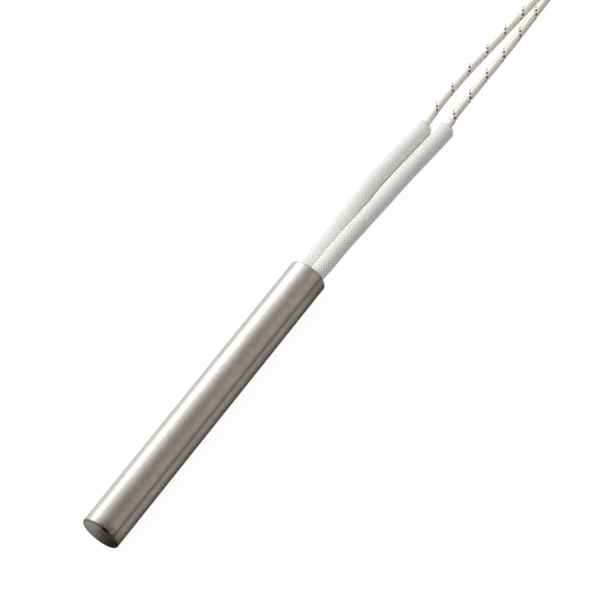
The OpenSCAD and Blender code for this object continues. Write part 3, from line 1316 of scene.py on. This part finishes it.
@dataclass(frozen=True)
class HankTie:
    """Nylon strap round the hank's middle, with its head and a trimmed tail."""

    hank: Hank
    width: float = 2.5
    thickness: float = 0.35
    soft: float = 0.08
    lead_r: float = 1.25
    slack: float = 0.03
    head_z: float = 0.7
    head: Point = (3.4, 2.6, 3.4)
    head_soft: float = 0.35
    head_sunk: float = 0.1
    tail: Point = (2.2, 0.9, 1.4)
    tail_soft: float = 0.12
    tail_rise: float = 0.5
    latch: Point = (2.2, 0.3, 1.6)
    latch_soft: float = 0.1
    latch_sunk: float = 0.12

    def strap_line(self) -> np.ndarray:
        """Middle of the strap round the six runs of lead, as rows of Y and Z.

        Returns:
            The points, one row each.
        """
        low = self.hank.low_z + self.hank.tie_lift
        waists = [own.waist for own in HANK_LOOPS.values()]
        runs = [(sign * waist, low) for waist in waists for sign in (-1, 1)]
        centres = np.array(runs + [(-waist, self.hank.tie_high_z) for waist in waists])
        turn = ring_angles(96)
        outward = rows(np.cos(turn), np.sin(turn))
        furthest = np.argmax(outward @ centres.T, axis=1)
        return centres[furthest] + (self.lead_r + self.slack + self.thickness / 2) * outward

    def build(self, finish: Material) -> Piece:
        """Makes the strap and its head as one piece.

        Args:
            finish: The tie's material.

        Returns:
            The new object.
        """
        middle = self.strap_line()
        ahead = unit_rows(np.roll(middle, -1, axis=0) - np.roll(middle, 1, axis=0))
        outward = rows(ahead[:, 1], -ahead[:, 0])
        half_w = self.width / 2
        half_t = self.thickness / 2
        flat = half_w - self.soft
        tall = half_t - self.soft
        section = np.array([(-flat, half_t), (flat, half_t), (half_w, tall), (half_w, -tall),
                            (flat, -half_t), (-flat, -half_t), (-half_w, -tall), (-half_w, tall)])
        skin = middle[:, None] + outward[:, None] * section[:, 1:]
        strap = rows(section[:, 0], skin[:, :, 0], skin[:, :, 1])
        right = middle[:, 0].max() + half_t
        head_middle = self.head_z + self.head[2] / 2
        tail_middle = self.head_z + self.head[2] + self.tail_rise
        skins = [
            np.concatenate([strap, strap[:1]]),
            self.block(right + self.head[1] / 2 - self.head_sunk, head_middle, self.head, self.head_soft),
            self.block(right + self.tail[1], tail_middle, self.tail, self.tail_soft),
            self.block(right + self.head[1] - self.latch_sunk, head_middle, self.latch, self.latch_soft),
        ]
        placed = [rings + np.array([self.hank.x, self.hank.y, 0]) for rings in skins]
        tie = make_piece("hank_strap", placed, finish, ("hank_tie",))
        tie.data.shade_flat()
        return tie

    @staticmethod
    def block(y: float, z: float, size: Point, soft: float) -> np.ndarray:
        """Works out a block with soft upright edges and softened ends.

        Args:
            y: Sideways place of its middle.
            z: Height of its middle.
            size: Its sizes along X, Y and Z.
            soft: Radius of its edges.

        Returns:
            Rings of points, as an array of rings, places and three numbers.
        """
        half = np.array(size) / 2
        inset = soft / half.min()
        corners = ((1, 1, 0), (-1, 1, 90), (-1, -1, 180), (1, -1, 270))
        outline = np.vstack([
            arc(((half[0] - soft) * x_sign, (half[1] - soft) * y_sign), soft, turn, turn + 90, 4)
            for x_sign, y_sign, turn in corners])
        levels = [(0.02, -half[2]), (1 - inset, -half[2]), (1 - 0.3 * inset, 0.3 * soft - half[2]),
                  (1, soft - half[2])]
        levels += [(share, -level) for share, level in levels[::-1]]
        rings = np.stack([rows(*(outline * share).T, level) for share, level in levels])
        return rings + np.array([0, y, z])


@dataclass(frozen=True)
class MouthSeal:
    """Potting cement in the mouth, drawn up a little at the bore and at each sleeve."""

    sheath: Sheath
    route: PairRoute
    sleeve_r: float = 2.48
    recess: float = 1.0
    start_back: float = 23.0
    fit: float = 0.03
    climb: float = 0.35
    bore_reach: float = 0.35
    sleeve_reach: float = 0.3
    inner_ring_r: float = 0.03
    ring_count: int = 42
    ring_points: int = 120

    def build(self, finish: Material) -> Piece:
        """Makes the seal.

        Args:
            finish: The cement's material.

        Returns:
            The new object.
        """
        edge = self.sheath.bore_r - self.fit
        away = np.linspace(self.inner_ring_r, edge, self.ring_count)
        front = turned_rings(0.0, away, self.ring_points, self.sheath.radius)
        y, z = front[:, :, 1], front[:, :, 2]
        rise = self.climb * np.exp((away - edge)[:, None] / self.bore_reach)
        for side in Side:
            mouth = self.route.mouth(side)
            apart = np.abs(np.hypot(y - mouth[1], z - mouth[2]) - self.sleeve_r)
            rise = np.maximum(rise, self.climb * np.exp(-apart / self.sleeve_reach))
        lumps = 0.05 * np.sin(2.1 * y + 0.7) * np.cos(1.7 * z) + 0.03 * np.sin(4.3 * z + 2.9 * y)
        front[:, :, 0] = self.sheath.mouth_x - self.recess + rise + lumps
        back = front[-1:].copy()
        back[:, :, 0] = self.sheath.mouth_x - self.start_back
        rings = np.concatenate([back, front[::-1]])
        return make_piece("mouth_seal", [rings], finish, ("lead_seal",), True)


@dataclass(frozen=True)
class InnerParts:
    """Packed inside of the heater, which keeps the shapes of the part's own solids."""

    nodes: dict[str, Piece]

    def dress(self, finishes: dict[str, Material]) -> None:
        """Gives each solid its finish.

        Args:
            finishes: The material of each node.
        """
        for name, finish in finishes.items():
            solid = self.nodes[name]
            solid.data.materials.clear()
            solid.data.materials.append(finish)
            LOG.info("%s: %s", name, finish.name)


# Studio


@dataclass(frozen=True)
class PhotoCamera:
    """Camera that stands where the photograph was taken from."""

    place: Point = (-0.23778, -0.19797, 0.61104)
    right: Point = (0.5728, -0.8197, 0.0)
    ahead: Point = (0.4029, 0.2816, -0.8709)
    lens: float = 144.48
    sensor: float = 36.0
    clip: Levels = (0.01, 50.0)

    def build(self) -> None:
        """Makes the camera."""
        data = bpy.data.cameras.new("photo_camera")
        data.lens = self.lens
        data.sensor_width = self.sensor
        data.clip_start, data.clip_end = self.clip
        camera = bpy.data.objects.new("photo_camera", data)
        ahead = Vector(self.ahead).normalized()
        right = Vector(self.right)
        right = (right - right.dot(ahead) * ahead).normalized()
        turned = Matrix((right, right.cross(ahead), -ahead)).transposed().to_4x4()
        camera.matrix_world = Matrix.Translation(Vector(self.place)) @ turned
        bpy.context.scene.collection.objects.link(camera)
        bpy.context.scene.camera = camera


@dataclass(frozen=True)
class Softbox:
    """Flat soft lamp turned toward the heater."""

    name: str
    place: Point
    size: Levels
    watts: float
    mirrored: bool
    toward: Point = (0.05, 0.0, 0.005)

    def build(self) -> None:
        """Makes the lamp."""
        data = bpy.data.lights.new(self.name, "AREA")
        data.shape = "RECTANGLE"
        data.size, data.size_y = self.size
        data.energy = self.watts
        lamp = bpy.data.objects.new(self.name, data)
        lamp.location = self.place
        sight = Vector(self.toward) - Vector(self.place)
        lamp.rotation_euler = sight.to_track_quat("-Z", "Y").to_euler()
        lamp.visible_glossy = self.mirrored
        bpy.context.scene.collection.objects.link(lamp)


@dataclass(frozen=True)
class Studio:
    """Pale floor, soft light from the left and a dim room round it.

    The eye sees a plain floor with the heater's shadow. Metal mirrors it with painted light and shade: a
    painted glow on the left, painted shade on the right, by the corner of the closed end and by the mouth.
    """

    floor_half: float = 2.0
    floor_colour: Colour = (0.86, 0.86, 0.85)
    # Warm painted tint of the floor on the right, which only reflections show
    warm_floor: Colour = (1.0, 0.93, 0.86)
    warm_side: Range = (-0.004, 0.004, 1.0, 0.0)
    glow: float = 0.92
    seen_share: float = 0.2
    # Painted light: a glow on the floor's left, seen only in reflections
    left_glow_near: Range = (0.004, 0.02, 0.0, 0.14)
    left_glow_far: Range = (0.02, 0.12, 0.0, 0.22)
    # Painted shade on the floor's right, seen only in reflections
    right_shade_near: Range = (-0.004, 0.008, 0.0, 0.64)
    right_shade_far: Range = (-0.022, -0.004, 0.57, 0.36)
    # Painted shadow on the floor past the closed end and at its right corner, seen only in reflections
    closed_x: float = -0.05
    past_end: Range = (-0.062, -0.05, 1.0, 0.55)
    corner_end: Range = (-0.057, -0.052, 0.0, 0.8)
    corner_side: Range = (0.005, -0.003, 0.0, 1.0)
    # Painted shade on the floor in front of the mouth on the right, seen only in reflections
    mirror_slope: float = 0.44
    mouth_end: Levels = (0.034, 0.05)
    mouth_side: Range = (-0.004, 0.003, 0.66, 1.0)
    softboxes: tuple[Softbox, ...] = (
        Softbox("left_softbox", place=(0.36, 0.80, 0.345), size=(1.3, 0.47), watts=1.7, mirrored=True),
        Softbox("side_softbox", place=(-0.30, 0.56, 0.62), size=(0.5, 0.4), watts=3.1, mirrored=False),
        Softbox("top_fill", place=(-0.50, -0.30, 0.81), size=(0.5, 0.5), watts=1.5, mirrored=False),
    )
    # Tilt of the room from the right through overhead to the left in degrees, and its level there
    room: tuple[Levels, ...] = (
        (-90, 0.10), (-87, 0.11), (-81, 0.22), (-74, 0.38), (-67, 0.47), (-58, 0.47), (-48, 0.45),
        (-41, 0.42), (-29, 0.355), (-18, 0.335), (-6, 0.37), (5, 0.455), (17, 0.63), (29, 0.89),
        (42, 1.22), (50, 1.42), (60, 1.4), (90, 1.2))
    top_level: float = 2.0
    warm_room: Colour = (1.0, 0.90, 0.80)
    clear_tilt: Levels = (-20.0, 28.0)
    grey_share: float = 0.6
    overhead: Levels = (-1.1, -0.6)
    ahead_lift: Range = (0.25, 0.45, -0.14, 0.32)
    behind_level: Range = (-0.7, -0.15, 0.55, 1.0)
    left_level: Range = (math.radians(30), math.radians(60), 1.0, 0.45)
    right_level: Range = (math.radians(-60), math.radians(-20), 0.6, 1.0)

    def build_floor(self) -> None:
        """Makes the floor."""
        half = self.floor_half
        corners = [(-half, -half, 0), (half, -half, 0), (half, half, 0), (-half, half, 0)]
        mesh = bpy.data.meshes.new("pale_floor")
        mesh.from_pydata(corners, [], [(0, 1, 2, 3)])
        floor = bpy.data.objects.new("pale_floor", mesh)
        bpy.context.scene.collection.objects.link(floor)
        mesh.materials.append(self.floor_finish())

    def floor_finish(self) -> Material:
        """Makes the floor's material, white to the eye and pale where light falls on it,
        with painted light and shade that only reflections show.

        Returns:
            The new material.
        """
        material, graph, shader = new_material("pale_floor")
        path = graph.node("ShaderNodeLightPath")
        seen = path.outputs["Is Camera Ray"]
        shine = graph.math("MAXIMUM", path.outputs["Is Glossy Ray"], path.outputs["Is Transmission Ray"])
        x, y, _ = graph.parts(graph.place())
        # Painted glow on the left that only glossy and transmission rays see
        left = graph.plus(graph.spread(y, *self.left_glow_near), graph.spread(y, *self.left_glow_far))
        glow = graph.plus(graph.times(seen, self.glow), graph.times(shine, left))
        # Painted shade and shadow that only glossy and transmission rays see: on the right, past the closed
        # end, at its corner and by the mouth
        mirrored_x = graph.plus(x, graph.times(y, self.mirror_slope))
        mouth = graph.spread(mirrored_x, *self.mouth_end, 1.0, graph.spread(y, *self.mouth_side))
        right = graph.plus(graph.spread(y, *self.right_shade_far), graph.spread(y, *self.right_shade_near))
        corner = graph.times(graph.spread(x, *self.corner_end), graph.spread(y, *self.corner_side))
        end = graph.times(graph.spread(x, *self.past_end), graph.minus(1.0, corner))
        beside = graph.math("MAXIMUM", end, graph.math("GREATER_THAN", x, self.closed_x))
        painted_floor_shade = graph.minus(1.0, graph.times(right, mouth, beside))
        mirrored = graph.minus(1.0, graph.times(shine, painted_floor_shade))
        plain = graph.minus(1.0, graph.times(seen, 1.0 - self.seen_share))
        lit = graph.math("MINIMUM", mirrored, plain)
        warm = tuple(part * share for part, share in zip(self.floor_colour, self.warm_floor))
        # Warm painted tint on the right that only reflections show
        tinted = graph.times(shine, graph.spread(y, *self.warm_side))
        colour = graph.blend(tinted, self.floor_colour, warm)
        graph.feed(shader.inputs["Base Color"], graph.blend(lit, (0.0, 0.0, 0.0), colour))
        shader.inputs["Roughness"].default_value = 1.0
        shader.inputs["Specular IOR Level"].default_value = 0.0
        shader.inputs["Emission Color"].default_value = (1, 1, 1, 1)
        graph.feed(shader.inputs["Emission Strength"], glow)
        return material

    def room_colour(self, graph: Graph, tilt: Socket) -> Socket:
        """Colour of the room by its tilt, warm on the right and clear on the left.

        Args:
            graph: The room's graph.
            tilt: Angle from overhead toward the left.

        Returns:
            The colour.
        """
        share = graph.math("DIVIDE", graph.plus(tilt, math.pi / 2), math.pi, clamp=True)
        ramp = graph.node("ShaderNodeValToRGB", {"Fac": share})
        stops = ramp.color_ramp.elements
        while len(stops) < len(self.room):
            stops.new(0.5)
        warm_to, clear_from = self.clear_tilt
        for stop, (angle, level) in zip(stops, self.room):
            clear = min(max((angle - warm_to) / (clear_from - warm_to), 0), 1)
            stop.position = (angle + 90) / 180
            tints = (part + (1 - part) * clear for part in self.warm_room)
            stop.color = (*(level / self.top_level * tint for tint in tints), 1)
        return ramp.outputs["Color"]

    def build_light(self) -> None:
        """Makes the soft lights and the room."""
        for softbox in self.softboxes:
            softbox.build()
        world = bpy.data.worlds.new("studio_room")
        world.use_nodes = True
        bpy.context.scene.world = world
        graph = Graph(world.node_tree)
        x, y, z = graph.parts(graph.node("ShaderNodeTexCoord").outputs["Generated"])
        tilt = graph.math("ARCTAN2", y, z)
        tinted = self.room_colour(graph, tilt)
        path = graph.node("ShaderNodeLightPath")
        seen = path.outputs["Is Camera Ray"]
        shine = path.outputs["Is Glossy Ray"]
        lift = graph.times(graph.spread(tilt, *self.overhead), graph.spread(x, *self.ahead_lift))
        ends = graph.times(graph.spread(x, *self.behind_level), graph.plus(lift, 1.0))
        sides = graph.times(graph.spread(tilt, *self.left_level), graph.spread(tilt, *self.right_level))
        level = graph.times(ends, graph.math("MAXIMUM", shine, sides), self.top_level)
        strength = graph.plus(graph.times(level, graph.minus(1.0, seen)), seen)
        grey = graph.node("ShaderNodeRGBToBW", {0: tinted}).outputs[0]
        room = graph.blend(shine, graph.blend(self.grey_share, tinted, grey), tinted)
        back = world.node_tree.nodes["Background"]
        graph.feed(back.inputs["Color"], graph.blend(seen, room, (1.0, 1.0, 1.0)))
        graph.feed(back.inputs["Strength"], strength)


def main() -> None:
    """Builds the camera, the leads, the sheath, the inside and the studio in order."""
    logging.basicConfig(level=logging.INFO, format="%(message)s")
    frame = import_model()
    bpy.context.scene.view_settings.view_transform = "Standard"
    for build in (build_ground_lines, build_clouds, build_grain, build_yarn, build_weld_heat_and_shade):
        build()
    PhotoCamera().build()

    sheath = Sheath()
    route = PairRoute()
    hank = Hank()
    cream_braid = GlassBraid(
        name="cream_lead_braid", pale=(0.965, 0.915, 0.84), warm=(0.945, 0.885, 0.805),
        gap_shade=(0.55, 0.47, 0.39), tracer=(0.012, 0.009, 0.007), gap_shade_share=0.12, strand_share=0.05,
        filaments=5.0, roughness=0.46, sheen=0.0, shine=1.0, varnish=0.9).build()
    white_braid = GlassBraid(
        name="white_sleeve_braid", pale=(0.95, 0.95, 0.94), warm=(0.93, 0.93, 0.915),
        gap_shade=(0.30, 0.30, 0.28), tracer=(0.92, 0.92, 0.91), gap_shade_share=0.75, strand_share=0.12,
        filaments=6.0, roughness=0.7, sheen=0.15, shine=0.35, varnish=0.0).build()
    nickel = GroundMetal(
        name="plain_nickel", bright=(0.72, 0.69, 0.63), dull=(0.62, 0.58, 0.52), stain=(0.66, 0.62, 0.55),
        smooth=0.25, rough=0.38, fineness=20000.0, cloud_scale=900.0).build()
    nylon = MouldedNylon(
        name="natural_nylon", pale=(0.80, 0.79, 0.74), milky=(0.86, 0.855, 0.82), roughness=0.42).build()
    sleeve_braid = Braid(carriers=16, lay=17.0, crown=0.11, wave=0.10)
    lead_braids = {
        side: Braid(
            carriers=8, lay=lay, crown=0.055, wave=0.045, start_turn=96.0, start_along=start, tracers=(0,))
        for side, lay, start in ((Side.A, 9.25, 1.2), (Side.B, 9.6, 8.3))}
    strap = HankTie(hank).build(nylon)
    for side, bare_turn in ((Side.A, -8.0), (Side.B, -24.0)):
        sleeve = BraidedSleeve(side, route, sleeve_braid).build(white_braid)
        lead = BraidedLead(side, route, hank, lead_braids[side], bare_turn)
        braid, middle = lead.build(cream_braid)
        bare = lead.build_ends(nickel)

    stainless = GroundMetal(
        name="ground_stainless", bright=(0.625, 0.61, 0.585), dull=(0.56, 0.56, 0.515),
        stain=(0.565, 0.535, 0.51), smooth=0.16, rough=0.24, mark=sheath.mark()).build()
    sheath.build_tube(stainless)
    welded = WeldedMetal(
        name="welded_stainless", bright=(0.50, 0.48, 0.46), dull=(0.36, 0.34, 0.32), mark=sheath.mark(),
        roughness=0.3).build()
    sheath.build_end(welded)
    cement = FiredCeramic(
        name="potting_cement", pale=(0.86, 0.85, 0.81), stained=(0.70, 0.68, 0.62), grain_scale=2600.0,
        grain_depth=0.00003, roughness=0.85).build()
    MouthSeal(sheath, route).build(cement)

    spacer = FiredCeramic(
        name="spacer_ceramic", pale=(0.86, 0.84, 0.77), stained=(0.74, 0.71, 0.63), grain_scale=4000.0,
        grain_depth=0.00001, roughness=0.55).build()
    core = FiredCeramic(
        name="core_ceramic", pale=(0.89, 0.87, 0.81), stained=(0.80, 0.77, 0.70), grain_scale=5200.0,
        grain_depth=0.000012, roughness=0.7).build()
    magnesia = FiredCeramic(
        name="packed_magnesia", pale=(0.92, 0.91, 0.88), stained=(0.82, 0.81, 0.77), grain_scale=6500.0,
        grain_depth=0.00002, roughness=0.9).build()
    wire = GroundMetal(
        name="resistance_wire", bright=(0.36, 0.34, 0.32), dull=(0.26, 0.24, 0.22), stain=(0.30, 0.26, 0.23),
        smooth=0.35, rough=0.5, fineness=16000.0, cloud_scale=800.0).build()
    plated = GroundMetal(
        name="plated_crimp", bright=(0.70, 0.69, 0.66), dull=(0.60, 0.58, 0.55), stain=(0.64, 0.62, 0.57),
        smooth=0.28, rough=0.4, fineness=14000.0, cloud_scale=700.0).build()
    InnerParts(frame["nodes"]).dress({
        "bottom_spacer": spacer, "top_spacer": spacer, "ceramic_core": core, "magnesia_fill": magnesia,
        "heating_coil": wire, "terminal_pin_a": nickel, "terminal_pin_b": nickel,
        "crimp_a": plated, "crimp_b": plated})

    studio = Studio()
    studio.build_floor()
    studio.build_light()


if __name__ == "__main__":
    main()
